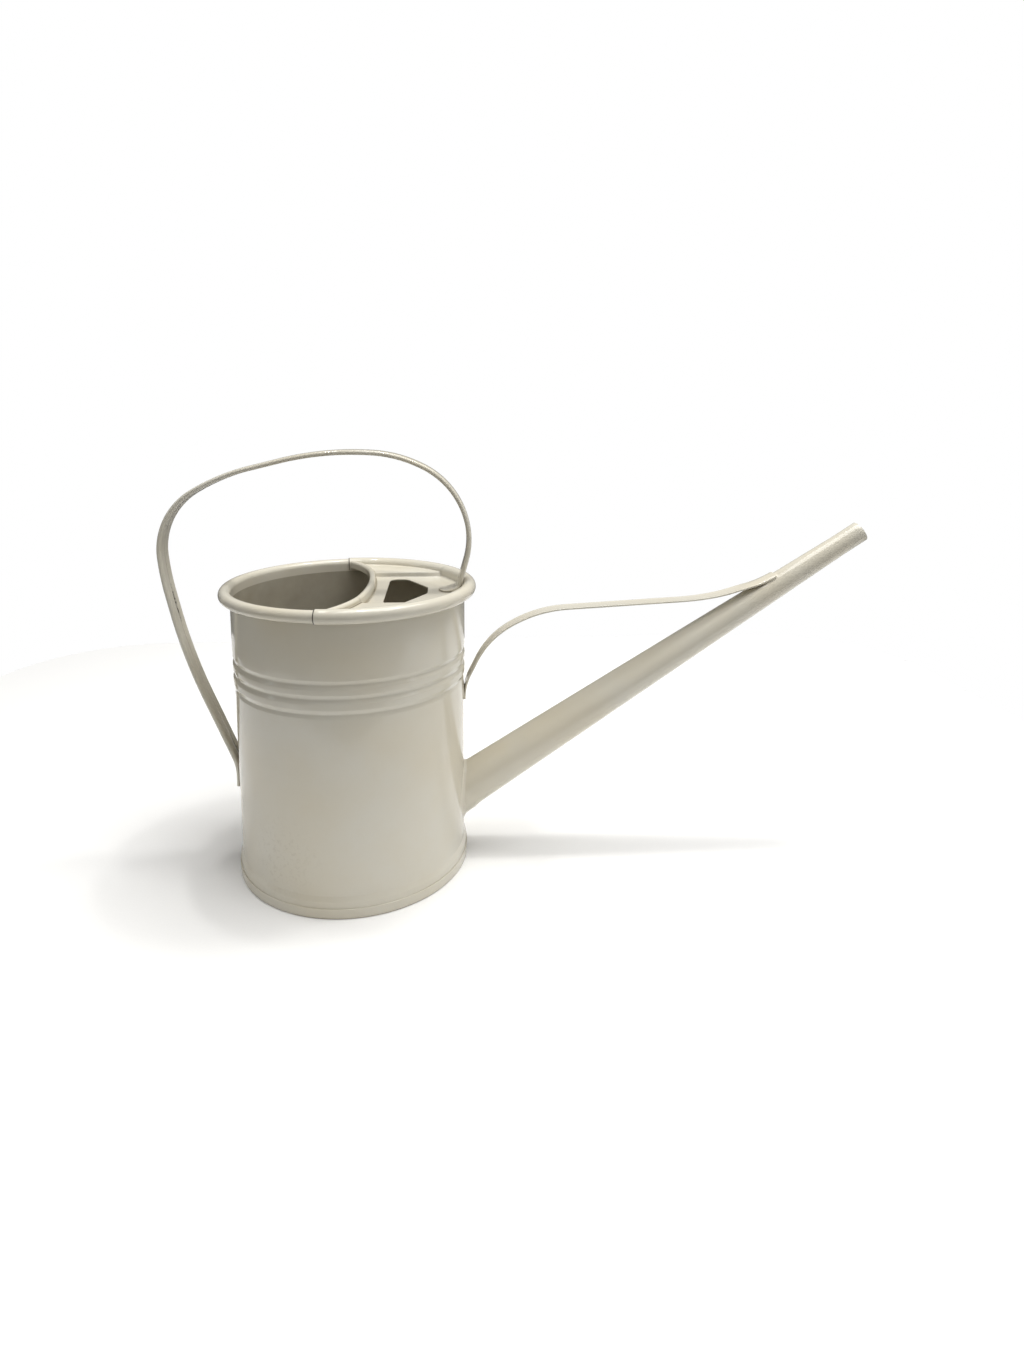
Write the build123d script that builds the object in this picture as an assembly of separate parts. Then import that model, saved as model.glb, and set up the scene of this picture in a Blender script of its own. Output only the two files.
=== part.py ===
from build123d import *
from math import acos, atan2, cos, degrees, hypot, radians, sin
import os

# A small indoor watering can, pressed, rolled and soldered from thin sheet steel, then coated.
# Millimetres. +Z is up, +X points along the spout, and the can is the same on both sides of the
# XZ plane. The origin is the centre of the base, on the surface that the can stands on.

# Body: a rolled cylinder with three swaged grooves and a curled rim
sheet = 0.5                   # steel sheet of the body, base, cover and spout
upper_radius = 60.0           # outside of the wall above the grooves
lower_step = 0.6              # how far the wall below the grooves stands inside the upper radius
foot_spread = 0.5             # how far the wall stands outside the upper radius in the bottom seam
foot_flare_bottom = 6.2       # height where the wall starts to draw in from the foot
foot_flare_top = 11.4         # height where the wall reaches its lower radius
bead_height = 148.2           # floor to the centre of the rim bead
bead_radius = 3.0             # outside of the curled rim bead
curl_sweep = 300.0            # degrees that the rim is curled around its wire
groove_heights = (101.1, 108.3, 115.2)
groove_depth = 1.0            # below the upper radius
groove_half_width = 2.1
groove_bend = 1.7             # outside bend radius at the bottom of a groove
band_bend = 1.8               # outside bend radius at the edge of a band
flare_bend = 6.0              # bend radius at both ends of the foot flare

# Base: a recessed disc whose edge is folded around the bottom of the wall
base_recess = 4.5             # floor to the underside of the disc
seam_height = 5.2             # floor to the top of the folded seam

# Cover: a pressed half lid, hemmed over the rim bead on the spout side
hem_past_lip = 1.1            # degrees that the hem runs on past the place where the lip meets it
hem_sweep = 275.0             # degrees that the hem wraps around the bead
shoulder_drop = 3.8           # hem crown to the two raised shoulders
panel_drop = 6.2              # hem crown to the sunken panel
panel_half_width = 35.0       # XZ plane to the step between the panel and a shoulder
lip_front = 9.5               # can axis to the lip's edge, on the XZ plane
lip_middle_radius = 190.0     # plan radius of the middle of the lip
lip_end_radius = 62.0         # plan radius of the lip's two ends
lip_middle_half = 28.0        # XZ plane to where the lip's plan radius changes
lip_end_turn = 60.0           # degrees that each end of the lip is drawn round, past the wall
lip_bend = 1.6                # outside bend radius along the top of the lip
lip_drop = 1.2                # hem crown to the top of the lip
lip_flange = 4.2              # height of the flange that is turned down on the open side

# Hand hole in the cover: a rounded trapezoid that narrows towards the spout
hole_back = 19.3              # can axis to the long straight side
hole_shoulder = 29.0          # can axis to the widest place
hole_nose = 40.8              # can axis to the narrow end
hole_half_width = 28.0
hole_nose_half = 7.0
hole_corner = 4.5             # radius of the four outer corners
hole_nose_corner = 7.0        # radius of the two corners at the narrow end

# Spout: a rolled cone with a short parallel tip
spout_height = 35.1           # floor to the spout's axis where it meets the wall
spout_angle = 33.4            # degrees above level
spout_length = 254.7          # wall to tip, along the axis
spout_root_radius = 11.7      # outside, at the wall
spout_tip_radius = 5.5        # outside, along the parallel tip
spout_tip_length = 14.0
root_weld_width = 1.6         # how far the solder stands out around the spout's root
root_weld_height = 1.4        # how far the solder climbs from the wall

# Brace: a hemmed strap from the wall to the top of the spout
brace_width = 9.5
brace_thickness = 1.0
brace_edge = 0.35             # rounding of the strap's long edges
brace_foot_height = 87.0      # floor to the strap's lower end
brace_foot_length = 7.3       # how much of the strap lies on the wall
brace_wall_turns = ((13.4, 33.2), (39.8, 47.7))     # (out, up) from the strap's lower end
brace_tip_turns = ((43.2, 13.6), (19.9, 10.1))      # (back, down) from the strap's upper end
brace_bends = (28.7, 45.0, 66.6, 147.0, 98.0)
brace_tip_reach = 203.5       # wall to the strap's upper end, along the spout's axis
brace_weld_margin = 1.0       # how far the solder shows around the strap's ends
brace_weld_height = 0.45
brace_tip_weld_length = 8.0   # length of the solder under the strap's upper end

# Handle: a strap folded to a flat tube, with its slit on the inside of the loop
handle_width = 12.0
handle_thickness = 2.6
handle_sheet = 0.6
handle_side_flat = 0.2        # flat left between the rounded long edges, on each side
handle_slit = 1.4
handle_foot_run = 10.3        # from the leg back to the rounded end of the foot on the cover
handle_rim_gap = 0.6          # between the strap's outside and the inside of the hem
handle_front_turns = ((4.0, 20.8), (-4.1, 51.3), (-34.9, 65.4))    # (out, up) from the spout-side rim
# (out, up) from the far rim, which is on the side away from the spout
handle_back_turns = ((-49.0, 67.6), (3.7, 54.7), (36.8, 35.4), (34.2, 3.0), (25.0, -39.6))
handle_bends = (39.8, 42.6, 64.8, 153.9, 101.2, 36.1, 139.0, 280.0)
handle_foot_bend = 3.2        # centre-line radius where the foot turns up into the leg
handle_heel_bend = 25.0       # centre-line radius where the strap meets the wall
handle_heel_bottom = 41.0     # floor to the strap's lower end
handle_heel_length = 11.0     # how much of the strap lies on the wall
handle_weld_margin = 1.2      # how far the solder shows around the strap's lower end
handle_weld_height = 0.9

# Places that follow from the sizes above
lower_radius = upper_radius - lower_step
foot_radius = upper_radius + foot_spread
handle_edge = (handle_thickness - handle_side_flat) / 2
bead_centre = upper_radius - sheet + bead_radius
hem_radius = bead_radius + sheet
crown = bead_height + hem_radius
wall_inside = upper_radius - sheet
hem_inside = bead_centre - hem_radius
shoulder_top = crown - shoulder_drop
panel_top = crown - panel_drop
panel_bottom = panel_top - sheet
handle_leg = (hem_inside ** 2 - (handle_width / 2) ** 2) ** 0.5 - handle_rim_gap - handle_thickness / 2
handle_foot_end = handle_leg - handle_foot_run
overlap = 5.0                 # how far cutting tools run past what they cut


def strip_face(near, far):
    """The face between two drawn lines that run side by side."""
    ends = Line(near @ 0, far @ 0) + Line(near @ 1, far @ 1)
    return make_face((near + far + ends).edges())


def in_section(shape):
    """Stand a drawing up in the XZ plane."""
    return Plane.XZ * shape


def make_body_wall():
    """Wall from the bottom seam up, over three grooves, into the curl around the rim wire."""
    groove_radius = upper_radius - groove_depth
    points = [(foot_radius, sheet), (foot_radius, foot_flare_bottom), (lower_radius, foot_flare_top)]
    bends = [flare_bend, flare_bend]
    radius_below = lower_radius
    for height in groove_heights:
        points += [(radius_below, height - groove_half_width), (groove_radius, height),
                   (upper_radius, height + groove_half_width)]
        bends += [band_bend, groove_bend, band_bend]
        radius_below = upper_radius
    points.append((upper_radius, bead_height))
    wall = FilletPolyline(*points, radius=bends)
    curl = CenterArc((bead_centre, bead_height), bead_radius - sheet, 180, -curl_sweep)
    section = make_face(offset(wall + curl, sheet, side=Side.LEFT).edges())
    return revolve(in_section(section), Axis.Z) - spout_cone(-sheet, -spout_root_radius * 2)


def make_rim_wire():
    """Plain steel wire that stiffens the curled rim."""
    return Pos(0, 0, bead_height) * Torus(bead_centre, bead_radius - sheet)


def make_base_plate():
    """Recessed disc, turned down inside the wall and folded up around its outside."""
    inside = foot_radius - sheet
    section = Polyline((0, base_recess), (inside - sheet, base_recess), (inside - sheet, 0),
                       (foot_radius + sheet, 0), (foot_radius + sheet, seam_height),
                       (foot_radius, seam_height), (foot_radius, sheet), (inside, sheet),
                       (inside, base_recess + sheet), (0, base_recess + sheet), close=True)
    return revolve(in_section(make_face(section.edges())), Axis.Z)


# The lip's plan: a shallow middle arc that runs on into a tighter arc at each end
lip_middle_turn = degrees(atan2(lip_middle_half, lip_middle_radius))
lip_middle_x = lip_front - lip_middle_radius
lip_end_x = lip_middle_x + (lip_middle_radius - lip_end_radius) * cos(radians(lip_middle_turn))
lip_end_y = (lip_middle_radius - lip_end_radius) * sin(radians(lip_middle_turn))


def lip_meeting_angle():
    """Degrees from +X to where the lip meets the inside of the wall."""
    away = hypot(lip_end_x, lip_end_y)
    between = (away ** 2 + wall_inside ** 2 - lip_end_radius ** 2) / (2 * away * wall_inside)
    return degrees(atan2(lip_end_y, lip_end_x) - acos(between))


def lip_line(inset):
    """Plan line of the cover's concave edge, moved towards the spout by the inset."""
    end_start = -lip_middle_turn - lip_end_turn
    return (CenterArc((lip_end_x, -lip_end_y), lip_end_radius + inset, end_start, lip_end_turn)
            + CenterArc((lip_middle_x, 0), lip_middle_radius + inset, -lip_middle_turn,
                        2 * lip_middle_turn)
            + CenterArc((lip_end_x, lip_end_y), lip_end_radius + inset, lip_middle_turn, lip_end_turn))


def hand_hole():
    """Plan face of the hand hole."""
    outline = FilletPolyline(
        (hole_back, -hole_half_width), (hole_shoulder, -hole_half_width),
        (hole_nose, -hole_nose_half), (hole_nose, hole_nose_half),
        (hole_shoulder, hole_half_width), (hole_back, hole_half_width),
        radius=(hole_corner, hole_corner, hole_nose_corner, hole_nose_corner, hole_corner, hole_corner),
        close=True)
    return make_face(outline.edges())


def hem_line(radius):
    """Section line of the hem at a radius about the bead: up the inside wall and over the bead."""
    x = bead_centre - radius
    rise = Line((x, panel_bottom), (x, bead_height))
    return rise + CenterArc((bead_centre, bead_height), radius, 180, -hem_sweep)


def lip_section_line(radius):
    """Section line of the lip, an upside-down U whose top has this radius."""
    left = lip_bend - radius
    right = lip_bend + radius
    leg_base = crown - lip_drop - lip_bend
    flange = Line((left, crown - lip_drop - lip_flange), (left, leg_base))
    leg = Line((right, leg_base), (right, panel_bottom))
    return flange + CenterArc((lip_bend, leg_base), radius, 180, -180) + leg


def make_top_cover():
    """Half lid: hem over the bead, two shoulders, a sunken panel with the hole, and the lip."""
    hem_section = in_section(strip_face(hem_line(bead_radius), hem_line(hem_radius)))
    half_angle = lip_meeting_angle() + hem_past_lip
    start = Rot(0, 0, -half_angle)
    hem = revolve(start * hem_section, Axis.Z, revolution_arc=2 * half_angle)

    lip_section = strip_face(lip_section_line(lip_bend), lip_section_line(lip_bend - sheet))
    path = lip_line(0)
    path_start = path @ 0
    section_plane = Plane(origin=(path_start.X, path_start.Y, 0), z_dir=path % 0,
                          x_dir=Vector(0, 0, -1).cross(path % 0))
    lip = sweep(section_plane * lip_section, path=path)

    # plan of everything between the lip and the wall
    reach = 2 * upper_radius
    lip_side = lip_line(2 * lip_bend - sheet)
    plan = make_face((lip_side + Polyline(lip_side @ 1, (reach, reach), (reach, -reach),
                                          lip_side @ 0)).edges())
    plan = plan & Circle(wall_inside)
    band = Rectangle(4 * reach, 2 * panel_half_width)
    step = Rectangle(4 * reach, 2 * (panel_half_width + sheet)) - band
    shoulders = extrude(Pos(0, 0, shoulder_top - sheet) * (plan - band), sheet)
    steps = extrude(Pos(0, 0, panel_bottom) * (plan & step), shoulder_top - panel_bottom)
    panel = extrude(Pos(0, 0, panel_bottom) * ((plan & band) - hand_hole()), sheet)
    inside_wall = Pos(0, 0, bead_height) * Cylinder(wall_inside, bead_height)
    return hem + (lip & inside_wall) + shoulders + steps + panel


def spout_plane(distance):
    """Plane across the spout at a distance from the wall, measured along its axis."""
    direction = Vector(cos(radians(spout_angle)), 0, sin(radians(spout_angle)))
    start = Vector(lower_radius, 0, spout_height)
    return Plane(origin=start + direction * distance, x_dir=(0, 1, 0), z_dir=direction)


def spout_outside_radius(distance):
    """Outside radius of the spout at a distance from the wall."""
    taper = (spout_root_radius - spout_tip_radius) / (spout_length - spout_tip_length)
    return spout_root_radius - taper * distance


def spout_cone(growth, start):
    """Solid of the spout's outside, grown by an amount, from a start distance to past the tip."""
    cone_end = spout_length - spout_tip_length
    section = Polyline((0, start), (spout_outside_radius(start) + growth, start),
                       (spout_tip_radius + growth, cone_end), (spout_tip_radius + growth, spout_length),
                       (0, spout_length), close=True)
    upright = revolve(in_section(make_face(section.edges())), Axis.Z)
    return spout_plane(0).location * upright


def wall_cylinder(radius):
    """Solid cylinder around the can's axis, taller than the can."""
    return Pos(0, 0, crown / 2) * Cylinder(radius, crown + 2 * overlap)


def make_spout_tube():
    """Rolled cone, its root cut to sit on the outside of the wall."""
    tube = spout_cone(0, -spout_root_radius) - spout_cone(-sheet, -2 * spout_root_radius)
    return tube - wall_cylinder(lower_radius)


def make_spout_weld():
    """Solder run around the spout's root."""
    ring = spout_cone(root_weld_width, -spout_root_radius) - spout_cone(0, -2 * spout_root_radius)
    return ring & (wall_cylinder(lower_radius + root_weld_height) - wall_cylinder(lower_radius))


def strap_on_path(section, path):
    """Carry a strap's section along its centre line in the XZ plane."""
    line = in_section(path)
    section_plane = Plane(origin=line @ 0, x_dir=(0, 1, 0), z_dir=line % 0)
    return sweep(section_plane * section, path=line)


def brace_path():
    """Centre line of the brace, from the wall up and over to the top of the spout."""
    foot_x = lower_radius + brace_thickness / 2
    rise = spout_outside_radius(brace_tip_reach) + brace_thickness / 2
    tip_x = lower_radius + brace_tip_reach * cos(radians(spout_angle)) - rise * sin(radians(spout_angle))
    tip_z = spout_height + brace_tip_reach * sin(radians(spout_angle)) + rise * cos(radians(spout_angle))
    points = [(foot_x, brace_foot_height), (foot_x, brace_foot_height + brace_foot_length)]
    for out, up in brace_wall_turns:
        points.append((lower_radius + out, brace_foot_height + up))
    for back, down in brace_tip_turns:
        points.append((tip_x - back, tip_z - down))
    points.append((tip_x, tip_z))
    return FilletPolyline(*points, radius=brace_bends)


def make_brace_strap():
    """Strap with rounded edges; its tip is dressed to the curve of the spout."""
    section = RectangleRounded(brace_width, brace_thickness, brace_edge)
    return strap_on_path(section, brace_path()) - spout_cone(0, 0) - wall_cylinder(lower_radius)


def make_wall_weld(strap, side, bottom, length, width, margin, height):
    """Solder around the end of a strap that lies on the wall, on the +X or -X side."""
    pad = Box(2 * height, width + 2 * margin, length, align=(Align.CENTER, Align.CENTER, Align.MIN))
    pad = Pos(side * lower_radius, 0, bottom - margin) * pad
    return pad - wall_cylinder(lower_radius) - strap


def make_brace_tip_weld(strap):
    """Solder between the brace's upper end and the top of the spout."""
    top = spout_outside_radius(brace_tip_reach) + brace_weld_height
    block = Box(brace_width, top, brace_tip_weld_length, align=(Align.CENTER, Align.MIN, Align.MAX))
    block = spout_plane(brace_tip_reach + brace_weld_margin).location * block
    return block - spout_cone(0, 0) - strap


def handle_path():
    """Centre line of the handle, from the foot on the cover over the top to the heel on the wall."""
    foot_z = panel_top + handle_thickness / 2
    heel_x = -lower_radius - handle_thickness / 2
    points = [(handle_foot_end, foot_z), (handle_leg, foot_z)]
    for out, up in handle_front_turns:
        points.append((upper_radius + out, crown + up))
    for out, up in handle_back_turns:
        points.append((-upper_radius - out, crown + up))
    points += [(heel_x, handle_heel_bottom + handle_heel_length), (heel_x, handle_heel_bottom)]
    return FilletPolyline(*points, radius=(handle_foot_bend, *handle_bends, handle_heel_bend))


def make_handle_strap():
    """Strap folded to a flat tube with a slit, its foot rounded in plan."""
    outside = RectangleRounded(handle_width, handle_thickness, handle_edge)
    hollow = RectangleRounded(handle_width - 2 * handle_sheet, handle_thickness - 2 * handle_sheet,
                              handle_edge - handle_sheet)
    slit = Pos(0, handle_thickness / 2) * Rectangle(handle_slit, handle_thickness)
    strap = strap_on_path(outside - hollow - slit, handle_path())
    return strap - foot_corners()


def foot_corners():
    """What is cut from the handle's foot to round its end."""
    half_width = handle_width / 2
    block = Box(half_width, 2 * handle_width, 3 * handle_thickness,
                align=(Align.MIN, Align.CENTER, Align.CENTER))
    round_end = Pos(half_width, 0, 0) * Cylinder(half_width, 4 * handle_thickness)
    return Pos(handle_foot_end, 0, panel_top + handle_thickness / 2) * (block - round_end)


brace_strap = make_brace_strap()
handle_strap = make_handle_strap()

parts = {
    "body_wall": make_body_wall(),
    "rim_wire": make_rim_wire(),
    "base_plate": make_base_plate(),
    "top_cover": make_top_cover(),
    "spout_tube": make_spout_tube(),
    "spout_weld": make_spout_weld(),
    "brace_strap": brace_strap,
    "brace_foot_weld": make_wall_weld(brace_strap, 1, brace_foot_height, brace_foot_length,
                                      brace_width, brace_weld_margin, brace_weld_height),
    "brace_tip_weld": make_brace_tip_weld(brace_strap),
    "handle_strap": handle_strap,
    "handle_heel_weld": make_wall_weld(handle_strap, -1, handle_heel_bottom, handle_heel_length,
                                       handle_width, handle_weld_margin, handle_weld_height),
}

os.makedirs("parts", exist_ok=True)
for name, shape in parts.items():
    export_step(shape, f"parts/{name}.step")
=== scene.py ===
from math import asin, atan2, cos, hypot, pi, radians, sin, sqrt, tan

import bmesh
import bpy
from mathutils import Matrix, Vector, noise


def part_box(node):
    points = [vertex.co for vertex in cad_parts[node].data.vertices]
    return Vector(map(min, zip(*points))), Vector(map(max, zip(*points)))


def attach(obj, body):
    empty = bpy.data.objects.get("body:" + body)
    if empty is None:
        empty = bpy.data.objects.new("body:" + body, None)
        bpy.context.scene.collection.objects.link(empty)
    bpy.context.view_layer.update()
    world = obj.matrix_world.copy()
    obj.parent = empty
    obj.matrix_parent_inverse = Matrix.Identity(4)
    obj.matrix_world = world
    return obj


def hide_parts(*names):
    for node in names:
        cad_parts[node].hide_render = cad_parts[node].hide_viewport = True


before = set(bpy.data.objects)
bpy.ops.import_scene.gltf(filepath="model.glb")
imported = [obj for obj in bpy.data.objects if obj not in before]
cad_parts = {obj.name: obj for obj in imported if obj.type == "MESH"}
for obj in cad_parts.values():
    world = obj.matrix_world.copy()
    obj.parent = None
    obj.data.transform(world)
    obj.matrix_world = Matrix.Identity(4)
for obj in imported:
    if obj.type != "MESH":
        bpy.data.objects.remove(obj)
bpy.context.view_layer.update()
mm = 0.001

# ---------------------------------------------------------------------------------------------
# Body wall: one strip of half-millimetre sheet steel rolled into a cylinder. Three grooves are
# swaged around it to stiffen it, its foot is flared into the bottom seam, and its top is curled
# outwards over a wire.
# ---------------------------------------------------------------------------------------------
sheet = 0.5 * mm
bead_radius = 3.0 * mm
bead_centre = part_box("body_wall")[1].x - bead_radius
bead_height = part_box("body_wall")[1].z - bead_radius
upper_radius = bead_centre - bead_radius + sheet
lower_radius = upper_radius - 0.6 * mm
foot_radius = upper_radius + 0.5 * mm
flare_bottom, flare_top, flare_bend = 8.3 * mm, 10.8 * mm, 1.5 * mm
groove_heights = (101.1 * mm, 108.3 * mm, 115.2 * mm)
groove_depth, groove_half_width = 1.0 * mm, 2.1 * mm
groove_bend, band_bend = 1.7 * mm, 1.8 * mm
curl_sweep = radians(300)


def arc(centre, radius, start, sweep, step):
    """Points along an arc in a flat drawing, about one step apart."""
    count = max(3, round(abs(sweep) * radius / step))
    turns = [start + sweep * i / count for i in range(count + 1)]
    return [Vector((centre[0] + radius * cos(t), centre[1] + radius * sin(t))) for t in turns]


def run(start, end, step):
    """Points along a straight run, about one step apart, without its first point."""
    start, end = Vector(start), Vector(end)
    count = max(1, round((end - start).length / step))
    return [start.lerp(end, (i + 1) / count) for i in range(count)]


def bent_line(corners, bends, fine, coarse):
    """A line through corners that are rounded to bend radii: fine steps in bends, coarse between."""
    corners = [Vector(corner) for corner in corners]
    line = [corners[0]]
    for before, corner, after, bend in zip(corners, corners[1:], corners[2:], bends):
        back, ahead = (before - corner).normalized(), (after - corner).normalized()
        half = back.angle(ahead) / 2
        centre = corner + (back + ahead).normalized() * bend / sin(half)
        first = corner + back * bend / tan(half) - centre
        turn = back.x * ahead.y - back.y * ahead.x
        sweep = (pi - 2 * half) * (-1 if turn > 0 else 1)
        bend_points = arc(centre, bend, atan2(first.y, first.x), sweep, min(fine, bend / 6))
        line += run(line[-1], bend_points[0], coarse) + bend_points[1:]
    return line + run(line[-1], corners[-1], coarse)


def beside(line, distance):
    """The line moved to its left by a distance, or to its right when that is negative."""
    moved = []
    for i, point in enumerate(line):
        before = (point - line[i - 1]).normalized() if i else None
        after = (line[i + 1] - point).normalized() if i + 1 < len(line) else None
        ways = [way for way in (before, after) if way]
        way = sum(ways, Vector((0, 0))).normalized()
        moved.append(point + Vector((-way.y, way.x)) * distance / max(0.5, way.dot(ways[0])))
    return moved


def strip(line, left, right):
    """Closed outline of sheet that follows a line, with its two cut edges rounded."""
    outline = []
    for side, start in ((line, left), (line[::-1], right)):
        outline += beside(side, start)
        end, way = side[-1], (side[-1] - side[-2]).normalized()
        across = Vector((-way.y, way.x))
        middle, half = end + across * (start - (left + right) / 2), (left + right) / 2
        for k in (1, 2, 3):
            lean = pi * k / 4
            outline.append(middle + across * half * cos(lean) + way * half * 0.6 * sin(lean))
    return outline


def skin(name, rows, round_rows=True, round_piece=False, capped=False):
    """A piece from rows of points, joined by four-sided faces."""
    count, wide = len(rows), len(rows[0])
    faces = []
    for i in range(count if round_piece else count - 1):
        for j in range(wide if round_rows else wide - 1):
            k, below = (j + 1) % wide, (i + 1) % count * wide
            faces.append((i * wide + j, i * wide + k, below + k, below + j))
    if capped:
        faces += [tuple(range(wide)), tuple(range((count - 1) * wide, count * wide))]
    mesh = bpy.data.meshes.new(name)
    mesh.from_pydata([point for row in rows for point in row], [], faces)
    shape = bmesh.new()
    shape.from_mesh(mesh)
    bmesh.ops.remove_doubles(shape, verts=shape.verts, dist=0.002 * mm)
    bmesh.ops.dissolve_degenerate(shape, edges=shape.edges, dist=0.001 * mm)
    bmesh.ops.recalc_face_normals(shape, faces=shape.faces)
    shape.to_mesh(mesh)
    shape.free()
    piece = bpy.data.objects.new(name, mesh)
    bpy.context.scene.collection.objects.link(piece)
    return piece


def crisp(piece, angle=38):
    """Smooth shading that stops at real creases."""
    piece.data.shade_smooth()
    piece.data.set_sharp_from_angle(angle=radians(angle))


def turned(name, outline, segments=240):
    """A piece turned around the can's axis from a closed outline of (radius, height)."""
    turns = [2 * pi * i / segments for i in range(segments)]
    rows = [[Vector((p.x * cos(t), p.x * sin(t), p.y)) for p in outline] for t in turns]
    return skin(name, rows, round_piece=True)


def cut(piece, tool):
    """Cut a tool's shape out of a piece, and put the tool away."""
    change = piece.modifiers.new("cut", "BOOLEAN")
    change.operation, change.object, change.solver = "DIFFERENCE", tool, "EXACT"
    graph = bpy.context.evaluated_depsgraph_get()
    piece.data = bpy.data.meshes.new_from_object(piece.evaluated_get(graph))
    piece.modifiers.clear()
    bpy.data.objects.remove(tool)


def linear(hex_colour):
    """sRGB hex to the linear colour that a shader takes."""
    parts = [int(hex_colour[i:i + 2], 16) / 255 for i in (1, 3, 5)]
    return (*[p / 12.92 if p <= 0.04045 else ((p + 0.055) / 1.055) ** 2.4 for p in parts], 1)


def node(tree, kind, settings, links=()):
    """One node with its settings; links pairs an input's name or number with another output."""
    made = tree.nodes.new(kind)
    for key, value in settings.items():
        if isinstance(key, int) or key in made.inputs:
            made.inputs[key].default_value = value
        else:
            setattr(made, key, value)
    for key, socket in dict(links).items():
        tree.links.new(socket, made.inputs[key])
    return made


ivory, ivory_warm, ivory_cool = "#D3CEBF", "#CFC6B1", "#D1CEC4"
stain_and_shade_brown = "#6B604A"
dust_and_corner_shade, bare_metal_and_painted_shadow = "#8A7B60", "#2E2922"


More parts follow.
